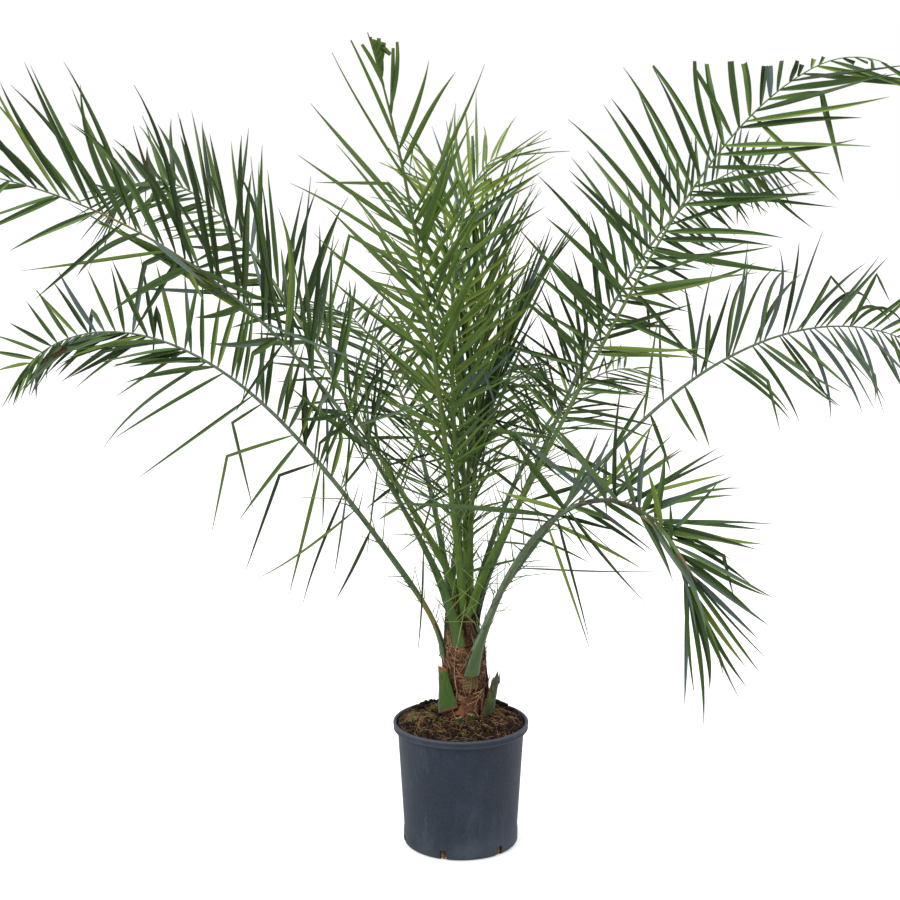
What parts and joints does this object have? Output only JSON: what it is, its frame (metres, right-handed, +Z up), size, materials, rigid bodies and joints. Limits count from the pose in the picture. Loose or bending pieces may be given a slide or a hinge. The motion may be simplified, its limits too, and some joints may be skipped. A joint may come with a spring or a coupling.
{
  "type": "potted date palm",
  "caption": "Young date palm with a short fibrous trunk and long arching feather fronds, in a round nursery pot filled with soil.",
  "frame": {"origin": "centre of the pot's flat underside, the face that the plant stands on", "axes": "+Z up along the pot's axis, -Y towards the side that the tall front frond leans to, +X to the right of that view"},
  "size_m": [2.1712, 1.3668, 1.7981],
  "materials": {
    "pot": "matte",
    "soil": "matte",
    "trunk": "matte",
    "stub": "matte",
    "petiole": "satin",
    "blade": "satin"
  },
  "bodies": {
    "root": {"blade_back_left": "blade", "blade_back_right": "blade", "blade_centre": "blade", "blade_closed_spear": "blade", "blade_drooping_right": "blade", "blade_left_low": "blade", "blade_right_low": "blade", "blade_short_right": "blade", "blade_tall_back_left": "blade", "blade_tall_back_right": "blade", "blade_tall_front": "blade", "blade_upper_left_back": "blade", "blade_upper_left_front": "blade", "blade_upper_right_back": "blade", "blade_upper_right_front": "blade", "petiole_back_left": "petiole", "petiole_back_right": "petiole", "petiole_centre": "petiole", "petiole_closed_spear": "petiole", "petiole_drooping_right": "petiole", "petiole_left_low": "petiole", "petiole_right_low": "petiole", "petiole_short_right": "petiole", "petiole_tall_back_left": "petiole", "petiole_tall_back_right": "petiole", "petiole_tall_front": "petiole", "petiole_upper_left_back": "petiole", "petiole_upper_left_front": "petiole", "petiole_upper_right_back": "petiole", "petiole_upper_right_front": "petiole", "pot": "pot", "soil": "soil", "stub_back": "stub", "stub_front": "stub", "stub_front_right": "stub", "stub_left": "stub", "stub_right": "stub", "tip_back_left": "blade", "tip_back_right": "blade", "tip_drooping_right": "blade", "tip_left_low": "blade", "tip_right_low": "blade", "tip_tall_back_right": "blade", "tip_tall_front": "blade", "tip_upper_left_back": "blade", "tip_upper_left_front": "blade", "tip_upper_right_back": "blade", "tip_upper_right_front": "blade", "trunk": "trunk"}
  },
  "joints": []
}
